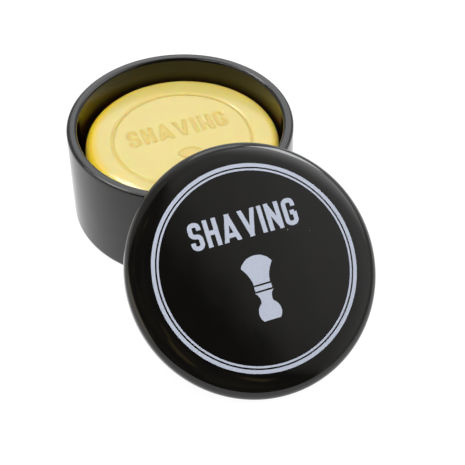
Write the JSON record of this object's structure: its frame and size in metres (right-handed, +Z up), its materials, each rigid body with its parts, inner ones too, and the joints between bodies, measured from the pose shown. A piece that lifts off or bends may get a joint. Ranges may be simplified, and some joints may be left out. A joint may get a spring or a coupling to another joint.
{
  "type": "shaving soap bowl with lid",
  "caption": "Round ceramic bowl holding a loose puck of hard shaving soap, with a flat round lid that leans on its rim.",
  "frame": {"origin": "centre of the bowl's foot, on the surface that the bowl and the lid's lower edge stand on", "axes": "+Z up along the bowl's axis; the lid leans out towards -Y, so +X is along its level edge-to-edge line"},
  "size_m": [0.1034, 0.1739, 0.0636],
  "materials": {
    "glaze": "glossy black glaze on stoneware",
    "soap": "smooth pressed hard soap, pale yellow, satin",
    "print": "thin fired print, pale bluish white"
  },
  "bodies": {
    "bowl": {"bowl": "glaze"},
    "soap": {"soap_puck": "soap"},
    "lid": {"lid": "glaze", "lid_print_outer_ring": "print", "lid_print_inner_ring": "print", "lid_print_lettering": "print", "lid_print_emblem": "print"}
  },
  "joints": [
    {"name": "lid_lift", "type": "slide", "parent": "bowl", "child": "lid", "axis": [0, 0, 1], "range_m": [0, 0.1]},
    {"name": "soap_lift", "type": "slide", "parent": "bowl", "child": "soap", "axis": [0, 0, 1], "range_m": [0, 0.012]}
  ]
}
